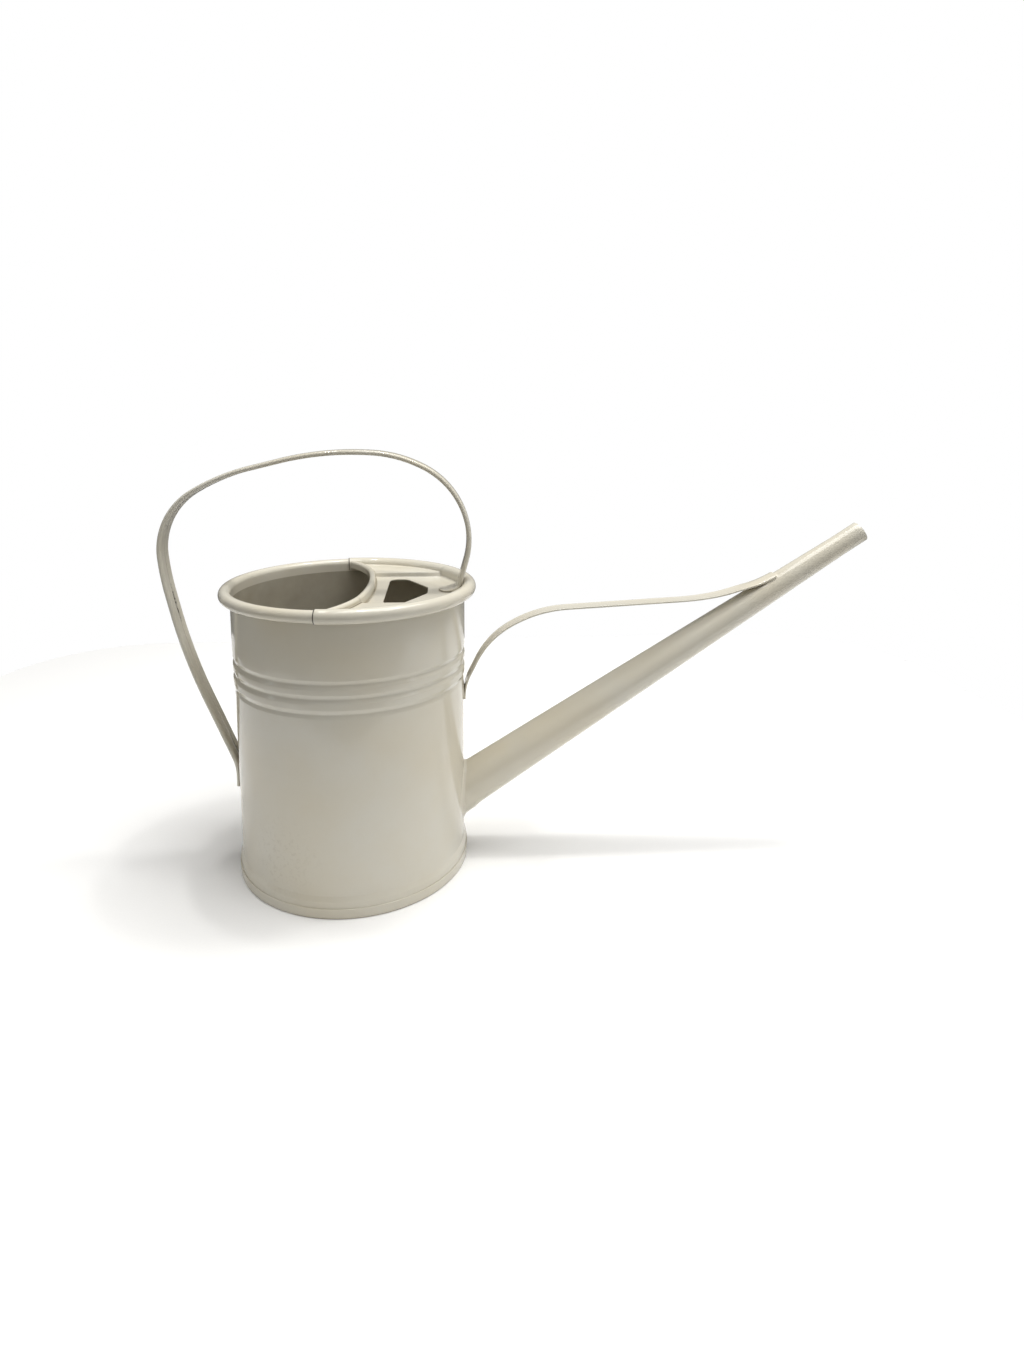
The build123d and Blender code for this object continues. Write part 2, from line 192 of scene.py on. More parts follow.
def powder_coat(name, seams=(), marks=(), shade=1.0):
    """Ivory powder coat, baked on steel: glossy, a little uneven, with a fine orange-peel skin.

    seams are (place, across, half_width, reach, amount, broken): dark lines square to the direction
    across, painted as shadow where a gap or step is shaded, or as bare metal where an edge has drawn the
    coat thin. Broken ones show only as chips.
    marks are (place, reach, amount): dull rubbed patches round a place. A shade under 1 browns and darkens
    the coat, as water stain and as painted shade for the inside of the can.
    """
    coat = bpy.data.materials.new(name)
    coat.use_nodes = True
    tree = coat.node_tree
    tree.nodes.clear()
    place = node(tree, "ShaderNodeTexCoord", {}).outputs["Object"]

    def cloud(size, detail, roughness=0.5):
        settings = {"Scale": 1 / size, "Detail": detail, "Roughness": roughness}
        return node(tree, "ShaderNodeTexNoise", settings, {"Vector": place}).outputs["Fac"]

    def spread(value, low, high, to_low=0.0, to_high=1.0):
        settings = {"clamp": True, 1: low, 2: high, 3: to_low, 4: to_high}
        return node(tree, "ShaderNodeMapRange", settings, {0: value}).outputs[0]

    def maths(operation, *values):
        settings = {i: v for i, v in enumerate(values) if isinstance(v, float)}
        links = {i: v for i, v in enumerate(values) if not isinstance(v, float)}
        return node(tree, "ShaderNodeMath", {"operation": operation, **settings}, links).outputs[0]

    def blend(share, first, second):
        links = {0: share, 6: first, 7: second}
        settings = {k: v for k, v in links.items() if isinstance(v, (tuple, float))}
        links = {k: v for k, v in links.items() if k not in settings}
        return node(tree, "ShaderNodeMix", {"data_type": "RGBA", **settings}, links).outputs[2]

    def near(middle, reach):
        away = node(tree, "ShaderNodeVectorMath", {"operation": "DISTANCE", 1: middle}, {0: place})
        return spread(away.outputs["Value"], reach * 0.35, reach, 1.0, 0.0)

    # slow drift of the coat's tone, as its thickness and its baking vary: patches of 50 mm
    tone = blend(spread(cloud(50 * mm, 2.0), 0.35, 0.65), linear(ivory_warm), linear(ivory_cool))
    colour = blend(0.45, linear(ivory), tone)
    # faint mottling, 6 mm across
    colour = blend(spread(cloud(6 * mm, 4.0, 0.6), 0.45, 0.75, 0.0, 0.16), colour, linear(ivory_warm))
    # a shade under 1 mixes in a brown: part water stain, part painted shade inside the can
    if shade < 1:
        stain_and_shade = spread(cloud(18 * mm, 5.0, 0.6), 0.3, 0.7, 1 - shade, 1.15 - shade)
        colour = blend(stain_and_shade, colour, linear(stain_and_shade_brown))
    # painted shade where pieces meet and in grooves: ambient occlusion darkens the coat within 3 mm of a
    # corner, broken up in patches like dust
    corner = node(tree, "ShaderNodeAmbientOcclusion", {"samples": 8, "Distance": 3 * mm})
    painted_corner_shade_and_dust = maths("MULTIPLY", spread(corner.outputs["AO"], 0.25, 0.8, 0.35, 0.0),
                  spread(cloud(4 * mm, 3.0), 0.3, 0.6, 0.5, 1.0))
    colour = blend(painted_corner_shade_and_dust, colour, linear(dust_and_corner_shade))
    roughness = spread(cloud(12 * mm, 5.0, 0.6), 0.3, 0.7, 0.08, 0.13)
    # orange peel 1.4 mm across on sheet that is never quite true over 35 mm
    height = maths("ADD", maths("MULTIPLY", cloud(1.4 * mm, 2.0), 0.003),
                   maths("MULTIPLY", cloud(35 * mm, 1.0), 0.16))
    # nibs: a few grains of dust baked into the coat, 0.4 mm across
    nib_place = {"Scale": 1 / (7 * mm), "feature": "F1"}
    nibs = node(tree, "ShaderNodeTexVoronoi", nib_place, {"Vector": place}).outputs["Distance"]
    height = maths("ADD", height, spread(nibs, 0.0, 0.05, 0.02, 0.0))
    for middle, reach, amount in marks:
        patch = maths("MULTIPLY", near(middle, reach), spread(cloud(1.8 * mm, 4.0, 0.6), 0.52, 0.66))
        patch = maths("MULTIPLY", patch, amount)
        colour = blend(patch, colour, linear(dust_and_corner_shade))
        roughness = maths("ADD", roughness, maths("MULTIPLY", patch, 0.8))
        height = maths("SUBTRACT", height, maths("MULTIPLY", patch, 0.12))
    # dark lines: painted shadow along gaps and steps, and bare metal where the coat has chipped
    for middle, across, half_width, reach, amount, broken in seams:
        offset = node(tree, "ShaderNodeVectorMath", {"operation": "SUBTRACT", 1: middle}, {0: place})
        side = node(tree, "ShaderNodeVectorMath", {"operation": "DOT_PRODUCT", 1: across},
                    {0: offset.outputs["Vector"]})
        line = spread(maths("ABSOLUTE", side.outputs["Value"]), half_width * 0.5, half_width, 1.0, 0.0)
        line = maths("MULTIPLY", maths("MULTIPLY", line, amount), near(middle, reach))
        if broken:
            edge = 0.35 + 0.2 * broken
            line = maths("MULTIPLY", line, spread(cloud(1.7 * mm, 2.0), edge, edge + 0.05))
        colour = blend(line, colour, linear(bare_metal_and_painted_shadow))
        roughness = maths("ADD", roughness, maths("MULTIPLY", line, 0.4))
        height = maths("SUBTRACT", height, maths("MULTIPLY", line, 0.06))
    bump = node(tree, "ShaderNodeBump", {"Strength": 1.0, "Distance": 1 * mm}, {"Height": height})
    shader = node(tree, "ShaderNodeBsdfPrincipled", {"IOR": 1.5},
                  {"Base Color": colour, "Roughness": roughness, "Normal": bump.outputs[0]})
    node(tree, "ShaderNodeOutputMaterial", {}, {"Surface": shader.outputs[0]})
    return coat


def spout_frame():
    """Start of the spout's axis on the wall, and its direction."""
    root = Vector((lower_radius, 0, 35.1 * mm))
    slope = radians(33.4)
    return root, Vector((cos(slope), 0, sin(slope)))


wall_corners = [(foot_radius, sheet), (foot_radius, flare_bottom), (lower_radius, flare_top)]
wall_bends = [flare_bend, flare_bend]
radius_below = lower_radius
for height in groove_heights:
    wall_corners += [(radius_below, height - groove_half_width), (upper_radius - groove_depth, height),
                     (upper_radius, height + groove_half_width)]
    wall_bends += [band_bend, groove_bend, band_bend]
    radius_below = upper_radius
wall_corners.append((upper_radius, bead_height))
wall_line = bent_line(wall_corners, wall_bends, 0.22 * mm, 4 * mm)
curl = arc((bead_centre, bead_height), bead_radius - sheet, pi, -curl_sweep, 0.45 * mm)
can_sides = 300
body = turned("body_sheet", strip(wall_line + curl[1:], sheet, 0.0), can_sides)

spout_root, spout_way = spout_frame()
spout_root_radius = 11.7 * mm
hole_sides = 64
hole_turns = [2 * pi * i / hole_sides for i in range(hole_sides)]
hole_side, hole_up = Vector((0, 1, 0)), spout_way.cross(Vector((0, 1, 0)))
hole_rows = []
for along in (-spout_root_radius, spout_root_radius):
    middle = spout_root + spout_way * along
    reach = spout_root_radius - sheet
    hole_rows.append([middle + (hole_side * cos(t) + hole_up * sin(t)) * reach for t in hole_turns])
cut(body, skin("spout_hole", hole_rows, capped=True))
crisp(body)
rubbed_foot = (Vector((-30 * mm, -51 * mm, 27 * mm)), 26 * mm, 0.12)
body.data.materials.append(powder_coat("ivory powder coat on the body", marks=[rubbed_foot]))
# the coat is thin inside, and water has left it dull and brown; its colour there is also darkened as
# painted shade for the hollow of the can
body.data.materials.append(powder_coat("water-stained coat inside the body", shade=0.6))
for face in body.data.polygons:
    inwards = face.normal.x * face.center.x + face.normal.y * face.center.y < 0
    face.material_index = 1 if inwards and face.center.z < bead_height - 4 * mm else 0
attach(body, "root")
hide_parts("body_wall")

# ---------------------------------------------------------------------------------------------
# Rim wire: drawn steel wire that the curled rim is closed over. Only its underside shows, in the
# gap where the curl ends. It is not coated, and a little dull from storage.
# ---------------------------------------------------------------------------------------------
wire = bpy.data.materials.new("drawn steel wire")
wire.use_nodes = True
wire.node_tree.nodes.clear()
wire_place = node(wire.node_tree, "ShaderNodeTexCoord", {}).outputs["Object"]
# draw marks stretched along the wire, 0.2 mm wide
draw_marks = node(wire.node_tree, "ShaderNodeTexNoise", {"Scale": 1 / (0.2 * mm), "Detail": 2.0},
                  {"Vector": wire_place})
wire_tone = node(wire.node_tree, "ShaderNodeMix",
                 {"data_type": "RGBA", 6: linear("#8E8B86"), 7: linear("#B9B6B0")},
                 {0: draw_marks.outputs["Fac"]})
wire_rough = node(wire.node_tree, "ShaderNodeMapRange", {3: 0.35, 4: 0.5}, {0: draw_marks.outputs["Fac"]})
wire_bump = node(wire.node_tree, "ShaderNodeBump", {"Distance": 0.01 * mm},
                 {"Height": draw_marks.outputs["Fac"]})
wire_shader = node(wire.node_tree, "ShaderNodeBsdfPrincipled", {"Metallic": 1.0},
                   {"Base Color": wire_tone.outputs[2], "Roughness": wire_rough.outputs[0],
                    "Normal": wire_bump.outputs[0]})
node(wire.node_tree, "ShaderNodeOutputMaterial", {}, {"Surface": wire_shader.outputs[0]})
rim_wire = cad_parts["rim_wire"]
rim_wire.data.materials.clear()
rim_wire.data.materials.append(wire)
rim_wire.data.shade_smooth()

# ---------------------------------------------------------------------------------------------
# Base: a disc of the same sheet, recessed into the wall. Its edge is turned down inside the wall
# and folded up around the outside, which makes the flat bottom seam that the can stands on.
# ---------------------------------------------------------------------------------------------
base_recess, seam_height = 4.5 * mm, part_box("base_plate")[1].z
seam_inside = foot_radius - sheet
seam_outside = foot_radius + sheet
base_corners = [(0, base_recess), (seam_inside - sheet, base_recess), (seam_inside - sheet, 0),
                (seam_outside, 0), (seam_outside, seam_height), (foot_radius, seam_height),
                (foot_radius, sheet), (seam_inside, sheet), (seam_inside, base_recess + sheet),
                (0, base_recess + sheet)]
base_bends = [0.6 * mm, 0.35 * mm, 0.8 * mm, 0.3 * mm, 0.1 * mm, 0.1 * mm, 0.1 * mm, 0.2 * mm]
base = turned("base_disc", bent_line(base_corners, base_bends, 0.12 * mm, 3 * mm), can_sides)
crisp(base)
base.data.materials.append(powder_coat("ivory powder coat on the base"))
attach(base, "root")
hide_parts("base_plate")

# ---------------------------------------------------------------------------------------------
# Cover: a half lid pressed from one sheet. Its edge is hemmed over the rim bead, its middle is
# sunk between two shoulders and has the hand hole, and its open edge is rolled into a hollow lip.
# ---------------------------------------------------------------------------------------------
hem_radius = bead_radius + sheet
crown = bead_height + hem_radius
hem_inside = bead_centre - hem_radius
hem_sweep, hem_past_lip = radians(275), radians(1.1)
shoulder_top, panel_top = crown - 3.8 * mm, crown - 6.2 * mm
panel_half_width, step_bend = 35.0 * mm, 0.9 * mm
lip_front, lip_middle_radius, lip_middle_half = 9.5 * mm, 190.0 * mm, 28.0 * mm
lip_end_radius = 62.0 * mm
lip_bend, lip_top, lip_flange = 1.6 * mm, crown - 1.2 * mm, 4.2 * mm
middle_turn = atan2(lip_middle_half, lip_middle_radius)
middle_x = lip_front - lip_middle_radius
end_x = middle_x + (lip_middle_radius - lip_end_radius) * cos(middle_turn)
end_y = (lip_middle_radius - lip_end_radius) * sin(middle_turn)
seat = 0.06 * mm            # how deep a sheet's edge is bedded in the sheet that it runs into


def lip_place(y, inset):
    """Where the lip's edge line, moved towards the spout, passes a distance y, and its outward way."""
    if abs(y) <= (lip_middle_radius + inset) * sin(middle_turn):
        centre, radius = Vector((middle_x, 0)), lip_middle_radius + inset
    else:
        centre, radius = Vector((end_x, end_y if y > 0 else -end_y)), lip_end_radius + inset
    point = Vector((centre.x + sqrt(radius ** 2 - (y - centre.y) ** 2), y))
    return point, (point - centre) / radius


def lip_meeting(inset, wall_radius):
    """Distance y at which the lip's edge line runs into a round wall."""
    low, high = 0.5 * wall_radius, wall_radius
    for _ in range(40):
        middle = (low + high) / 2
        low, high = (middle, high) if lip_place(middle, inset)[0].length < wall_radius else (low, middle)
    return low


def gather(piece, *others):
    """Put other shapes, bedded in a piece, into its own mesh."""
    shape = bmesh.new()
    for other in (piece, *others):
        shape.from_mesh(other.data)
    shape.to_mesh(piece.data)
    shape.free()
    for other in others:
        bpy.data.objects.remove(other)


def soft_step(value, middle, half):
    """0 below a place and 1 above it, with a rounded change in between."""
    share = min(1.0, max(0.0, (value - middle + half) / (2 * half)))
    return share * share * (3 - 2 * share)


def lid_height(y):
    """Top of the sunken panel in the middle, and of the shoulders beside it."""
    return panel_top + (shoulder_top - panel_top) * soft_step(abs(y), panel_half_width, step_bend)


def inner_hem(height):
    """Radius of the hem's inner side at a height."""
    rise = max(0.0, height - bead_height)
    return bead_centre - sqrt(max(0.0, hem_radius ** 2 - rise ** 2))


# hem: up the inside of the wall, over the bead and under it
hem_rise = run((hem_inside + sheet, panel_top - sheet), (hem_inside + sheet, bead_height), 1 * mm)
hem_line = [Vector((hem_inside + sheet, panel_top - sheet))] + hem_rise
hem_line += arc((bead_centre, bead_height), bead_radius, pi, -hem_sweep, 0.4 * mm)[1:]
hem_section = strip(hem_line, sheet, 0.0)
meeting = lip_meeting(0, hem_inside)
hem_half = atan2(meeting, lip_place(meeting, 0)[0].x) + hem_past_lip
hem_steps = 110             # from the middle of the hem to either end
hem_turns = [hem_half * (i / hem_steps - 1) for i in range(2 * hem_steps + 1)]
hem_rows = []
for turn in hem_turns:
    # the last 2 mm of the hem are pressed a little tighter on the bead at each end
    pinch = 1 - 0.03 * (1 - soft_step((hem_half - abs(turn)) * bead_centre, 1.2 * mm, 1.0 * mm))
    row = []
    for point in hem_section:
        radius = bead_centre + (point.x - bead_centre) * (pinch if point.x > hem_inside + sheet else 1)
        row.append(Vector((radius * cos(turn), radius * sin(turn), point.y)))
    hem_rows.append(row)
cover = skin("top_cover_sheet", hem_rows, capped=True)

# lip: flange on the open side, rolled top, leg down to the panel
lip_section = []
for radius in (lip_bend, lip_bend - sheet):
    leg_x = lip_bend - radius
    legs = [Vector((leg_x, lip_top - lip_flange)), Vector((leg_x, lip_top - lip_bend))]
    top = arc((lip_bend, lip_top - lip_bend), radius, pi, -pi, 0.3 * mm)
    legs = [legs[0]] + run(legs[0], legs[1], 0.7 * mm)[:-1] + top
    foot = (lip_bend + radius, panel_top - sheet)
    side = legs + run(top[-1], foot, 0.7 * mm)
    lip_section += side if radius == lip_bend else side[::-1]
lip_rows = []
reach = lip_meeting(0, hem_inside + 1.2 * mm)
lip_steps = 80              # from the middle of the lip to either end
for i in range(2 * lip_steps + 1):
    y = reach * sin((i / lip_steps - 1) * pi / 2)
    place, way = lip_place(y, 0)
    row = []
    for point in lip_section:
        plan = place + way * point.x
        limit = inner_hem(point.y) + seat
        if plan.length > limit:
            plan *= limit / plan.length
        row.append(Vector((plan.x, plan.y, point.y)))
    lip_rows.append(row)
lip = skin("lip", lip_rows, capped=True)

# lid: panel, steps and shoulders, turned up where they run into the lip's leg and the hem
corner_bend = 0.9 * mm
lid_rows = []
corner_y = lip_meeting(2 * lip_bend - seat, hem_inside + seat)
corner_place = lip_place(corner_y, 2 * lip_bend - seat)[0]
straight = 50 * mm
turn_straight, turn_corner = asin(straight / hem_inside), atan2(corner_place.y, corner_place.x)
straight_steps, end_steps, across_steps, bend_steps = 150, 24, 40, 6
steps_y = [-straight + 2 * straight * i / straight_steps for i in range(straight_steps + 1)]
steps_y += [side * (panel_half_width + step_bend * (i / 6 - 1) * 1.2)
            for side in (-1, 1) for i in range(13)]
stations = [(y, asin(y / hem_inside)) for y in sorted(steps_y)]
for i in range(1, end_steps + 1):
    share = i / end_steps
    y = straight + (corner_y - straight) * share
    turn = turn_straight + (turn_corner - turn_straight) * share
    stations = [(-y, -turn)] + stations + [(y, turn)]
for y, turn in stations:
    lip_side, way = lip_place(y, 2 * lip_bend - seat)
    out = Vector((cos(turn), sin(turn)))
    hem_side = out * (hem_inside + seat)
    gap = (hem_side - lip_side).length
    bend = min(corner_bend, gap * 0.45)
    row = []
    for k in range(bend_steps + 1):
        lean = pi / 2 * k / bend_steps
        plan = lip_side + way * bend * (1 - cos(pi / 2 - lean))
        row.append((plan, bend * (1 - sin(lean))))
    start, end = lip_side + way * bend, hem_side - out * bend
    for k in range(1, across_steps):
        row.append((start.lerp(end, k / across_steps), 0.0))
    for k in range(bend_steps + 1):
        lean = pi / 2 * k / bend_steps
        row.append((hem_side - out * bend * (1 - sin(lean)), bend * (1 - cos(lean))))
    upper = [Vector((plan.x, plan.y, lid_height(plan.y) + rise)) for plan, rise in row]
    lower = [Vector((point.x, point.y, point.z - sheet)) for point in upper]
    lid_rows.append(upper + lower[::-1])
lid = skin("lid", lid_rows)

hole_corners = [(19.3, -28.0), (29.0, -28.0), (40.8, -7.0), (40.8, 7.0), (29.0, 28.0), (19.3, 28.0)]
hole_bends = [4.5, 4.5, 7.0, 7.0, 4.5, 4.5]
hole_start = (19.3, 0.0)    # middle of the long straight side, where the outline opens and closes
loop = bent_line([hole_start] + hole_corners + [hole_start], hole_bends, 0.5, 3.0)[:-1]
hole_rows = [[Vector((p.x * mm, p.y * mm, z)) for p in loop]
             for z in (panel_top - 4 * sheet, panel_top + 4 * sheet)]
cut(lid, skin("hand_hole", hole_rows, capped=True))
gather(cover, lip, lid)
crisp(cover, 32)
# painted shadow: a dark line across the hem at each end, where it leaves a shaded gap on the bead, and a
# faint line of painted shade along each step of the lid
hem_end_shadows = []
for way in (-1, 1):
    out = Vector((cos(hem_half), way * sin(hem_half), 0))
    place = out * (bead_centre + bead_radius / 2) + Vector((0, 0, bead_height + 2 * mm))
    hem_end_shadows.append((place, Vector((-out.y, out.x, 0)), 0.6 * mm, 13 * mm, 1.0, 0))
# painted shade along the foot of each step between panel and shoulder
step_places = [Vector((28 * mm, side * panel_half_width, panel_top)) for side in (-1, 1)]
step_shade = [(place, Vector((0, 1, 0)), 1.3 * mm, 25 * mm, 0.42, 0) for place in step_places]
cover.data.materials.append(powder_coat("ivory powder coat on the cover", hem_end_shadows + step_shade))
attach(cover, "root")
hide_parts("top_cover")

# ---------------------------------------------------------------------------------------------
# Spout: a long cone of sheet steel, rolled and soldered along its underside. Its root is cut to
# the curve of the wall and its tip is left square and parallel.
# ---------------------------------------------------------------------------------------------
spout_length = 254.7 * mm
spout_tip_radius, spout_tip_length = 5.5 * mm, 14.0 * mm
root_flare, root_flare_length = 0.5 * mm, 5.0 * mm
spout_side, spout_up = Vector((0, 1, 0)), spout_way.cross(Vector((0, 1, 0)))


def spout_radius(along):
    """Outside radius of the spout at a distance from the wall, along its axis."""
    taper = (spout_root_radius - spout_tip_radius) / (spout_length - spout_tip_length)
    flare_left = max(0.0, 1 - max(0.0, along) / root_flare_length)
    flare = root_flare * flare_left ** 2
    return max(spout_tip_radius, spout_root_radius - taper * along) + flare


def spout_point(turn, along, lift=0.0):
    """A point on the spout: turn is 0 at its side and a quarter turn on top."""
    radius = spout_radius(along) + lift
    return spout_root + spout_way * along + (spout_side * cos(turn) + spout_up * sin(turn)) * radius


def spout_start(turn, lift=0.0, wall_radius=None):
    """Distance along the axis at which the spout's side runs into the wall."""
    low, high = -15 * mm, 15 * mm
    for _ in range(40):
        middle = (low + high) / 2
        point = spout_point(turn, middle, lift)
        inside = hypot(point.x, point.y) < (wall_radius or lower_radius)
        low, high = (middle, high) if inside else (low, middle)
    return low


spout_rings, spout_sides = 120, 120
spout_rows = []
for i in range(spout_sides):
    turn = 2 * pi * i / spout_sides
    # the soldered lap seam is a low ridge along the underside
    ridge = 0.14 * mm * max(0.0, 1 - abs(turn - 1.5 * pi) / 0.14)
    start = spout_start(turn) - 0.1 * mm
    outer, inner = [], []
    for k in range(spout_rings + 1):
        # rings are closer together near the wall, where the cut end is curved
        share = (k / spout_rings) ** 1.25
        along = start + (spout_length - 0.2 * mm - start) * share
        outer.append(spout_point(turn, along, ridge))
        inner.append(spout_point(turn, along, -sheet))
    rim = [spout_point(turn, spout_length - 0.05 * mm, -0.1 * mm),
           spout_point(turn, spout_length, -0.25 * mm),
           spout_point(turn, spout_length - 0.05 * mm, -0.4 * mm)]
    spout_rows.append(outer + rim + inner[::-1])
spout = skin("spout_cone", spout_rows, round_piece=True)
crisp(spout, 50)
spout.data.materials.append(powder_coat("ivory powder coat on the spout"))
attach(spout, "root")
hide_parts("spout_tube")

# ---------------------------------------------------------------------------------------------
# Spout solder: soft solder run around the spout's root and wiped to a hollow fillet before the
# coat goes on, so it is a little uneven under the same ivory skin.
# ---------------------------------------------------------------------------------------------
solder_width, solder_height = 1.6 * mm, 2.0 * mm


def uneven(place, size):
    """A slow random change about 1, as hand-run solder has."""
    return 1 + 0.35 * noise.noise(place / size)


solder_sides, fillet_steps = 160, 8
solder_rows = []
for i in range(solder_sides):
    turn = 2 * pi * i / solder_sides
    base_point = spout_point(turn, spout_start(turn))
    wide = solder_width * uneven(base_point, 9 * mm)
    tall = solder_height * uneven(base_point + Vector((1, 0, 0)), 7 * mm)
    along = spout_start(turn)
    side_top = spout_point(turn, along + tall, 0.02 * mm)
    out_point = spout_point(turn, spout_start(turn, wide), wide)
    middle = spout_point(turn, along + tall * 0.33, wide * 0.22)
    section = []
    for k in range(fillet_steps + 1):
        share = k / fillet_steps
        point = out_point * (1 - share) ** 2 + middle * 2 * share * (1 - share) + side_top * share ** 2
        section.append(point)
    section.append(spout_point(turn, along + tall * 0.5, -0.2 * mm))
    section.append(spout_point(turn, along - 0.1 * mm, -0.2 * mm))
    section.append(spout_point(turn, spout_start(turn, wide) - 0.2 * mm, wide * 0.6))
    solder_rows.append(section)
solder = skin("spout_solder", solder_rows, round_piece=True)
crisp(solder, 60)
solder.data.materials.append(powder_coat("ivory powder coat over the spout's solder"))
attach(solder, "root")
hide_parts("spout_weld")

# ---------------------------------------------------------------------------------------------
# Brace: a narrow strap of sheet with hemmed edges that holds the long spout up. It is soldered
# flat to the wall, springs over in one slow curve, and its end is dressed down over the spout.
# ---------------------------------------------------------------------------------------------
brace_width, brace_thick, brace_edge = 9.5 * mm, 1.0 * mm, 0.34 * mm
brace_foot, brace_flat, brace_reach = 87.0 * mm, 7.3 * mm, 203.5 * mm
brace_rise = spout_radius(brace_reach) + brace_thick / 2
brace_end = spout_root + spout_way * brace_reach + spout_up * brace_rise
brace_corners = [(lower_radius + brace_thick / 2, brace_foot),
                 (lower_radius + brace_thick / 2, brace_foot + brace_flat)]
brace_corners += [(lower_radius + out * mm, brace_foot + up * mm)
                  for out, up in ((13.4, 33.2), (39.8, 47.7))]
brace_corners += [(brace_end.x - back * mm, brace_end.z - down * mm)
                  for back, down in ((43.2, 13.6), (19.9, 10.1))]
brace_corners.append((brace_end.x, brace_end.z))
brace_bends = [bend * mm for bend in (28.7, 45.0, 66.6, 147.0, 98.0)]
brace_line = bent_line(brace_corners, brace_bends, 1.2 * mm, 1.6 * mm)


def strap_section(width, thick, edge):
    """Flat strap section with thickened, rounded hems along both edges."""
    half, deep = width / 2, thick / 2
    corners = [(0, -deep), (half, -deep), (half, deep), (-half, deep), (-half, -deep), (0, -deep)]
    line = bent_line(corners, [edge] * 4, 0.12 * mm, 0.4 * mm)[:-1]
    # the hems stand 0.12 mm proud of the middle of the strap
    middle_share = 0.76
    return [Vector((p.x, p.y * (middle_share + (1 - middle_share)
                                * soft_step(abs(p.x), half - 1.5 * mm, 0.5 * mm)))) for p in line]


def line_ways(line):
    """Direction of a line at each of its points."""
    ends = [line[0]] + line + [line[-1]]
    return [(after - before).normalized() for before, after in zip(ends, ends[2:])]


def left_to_go(line):
    """Distance from each point of a line to its end."""
    remain = [0.0]
    for before, after in zip(line[::-1], line[::-1][1:]):
        remain.append(remain[-1] + (after - before).length)
    return remain[::-1]


brace_rows = []
for point, way, remain in zip(brace_line, line_ways(brace_line), left_to_go(brace_line)):
    saddle = (1 - soft_step(remain, 13 * mm, 9 * mm)) / (spout_radius(brace_reach) + brace_thick)
    # the end is cut with rounded corners
    trim = 1 - 0.10 * (1 - soft_step(remain, 0.6 * mm, 0.6 * mm))
    row = []
    for p in strap_section(brace_width, brace_thick, brace_edge):
        lean = p.x * trim * saddle
        if saddle > 1:
            out, drop = sin(lean) / saddle, (1 - cos(lean)) / saddle
        else:
            out, drop = p.x * trim, 0.0
        lift = p.y - drop
        row.append(Vector((point.x - way.y * lift, out, point.y + way.x * lift)))
    brace_rows.append(row)
brace = skin("brace_strip", brace_rows, capped=True)
crisp(brace, 50)
brace.data.materials.append(powder_coat("ivory powder coat on the brace"))
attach(brace, "root")
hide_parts("brace_strap")

# ---------------------------------------------------------------------------------------------
# Brace solder: a flat pad of solder around the strap's lower end on the wall, and a thin one
# under its upper end on the spout. Both are run by hand and coated over.
# ---------------------------------------------------------------------------------------------


def pad(name, across, along, surface):
    """A thin closed blob: surface(x, y, lift) places it, and it thins out to its uneven edge."""
    rows = []
    steps_along, steps_across = 12, 16      # from its middle to either edge
    for i in range(2 * steps_along + 1):
        v = (i / steps_along - 1) * along
        top, under = [], []
        for k in range(2 * steps_across + 1):
            u = (k / steps_across - 1) * across
            full = max(0.0, 1 - abs(u / across) ** 4 - abs(v / along) ** 4) ** 0.5
            lift = full * uneven(Vector((u, v, across)), 4 * mm)
            top.append(surface(u, v, lift))
            under.append(surface(u, v, -0.25))
        rows.append(top + under[::-1])
    blob = skin(name, rows, capped=True)
    crisp(blob, 60)
    return blob


def on_wall(side, middle_height, thick):
    """Places a pad's points on the wall, on the spout's side (1) or the far side (-1)."""
    def place(u, v, lift):
        radius = lower_radius + thick * lift
        turn = u / lower_radius
        return Vector((side * radius * cos(turn), radius * sin(turn), middle_height + v))
    return place


def on_spout(reach, thick):
    """Places a pad's points over the top of the spout."""
    def place(u, v, lift):
        return spout_point(pi / 2 + u / spout_radius(reach), reach + v, thick * lift)
    return place


foot_pad = pad("brace_foot_solder", brace_width / 2 + 1.0 * mm, brace_flat / 2 + 1.0 * mm,
               on_wall(1, brace_foot + brace_flat / 2 + 0.2 * mm, 0.45 * mm))
tip_pad = pad("brace_tip_solder", brace_width / 2 + 0.3 * mm, 4.2 * mm,
              on_spout(brace_reach - 3.2 * mm, 0.42 * mm))
for piece, stood_for in ((foot_pad, "brace_foot_weld"), (tip_pad, "brace_tip_weld")):
    piece.data.materials.append(powder_coat("ivory powder coat over " + stood_for))
    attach(piece, "root")
    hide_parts(stood_for)

# ---------------------------------------------------------------------------------------------
# Handle: a strip of sheet folded to a flat tube, its two edges meeting in a seam on the inside of
# the loop. It is bent by hand, so its curve is a little uneven. Its foot lies on the cover.
# ---------------------------------------------------------------------------------------------
handle_width, handle_thick, handle_sheet = 12.0 * mm, 2.6 * mm, 0.6 * mm
handle_leg = sqrt(hem_inside ** 2 - (handle_width / 2) ** 2) - 0.6 * mm - handle_thick / 2
foot_z, heel_x = panel_top + handle_thick / 2, -lower_radius - handle_thick / 2
heel_bottom, heel_length = 41.0 * mm, 11.0 * mm
handle_corners = [(handle_leg - 10.3 * mm, foot_z), (handle_leg, foot_z)]
handle_corners += [(upper_radius + out * mm, crown + up * mm)
                   for out, up in ((4.0, 20.8), (-4.1, 51.3), (-34.9, 65.4))]
handle_corners += [(-upper_radius - out * mm, crown + up * mm)
                   for out, up in ((-49.0, 67.6), (3.7, 54.7), (36.8, 35.4), (34.2, 3.0), (25.0, -39.6))]
handle_corners += [(heel_x, heel_bottom + heel_length), (heel_x, heel_bottom)]
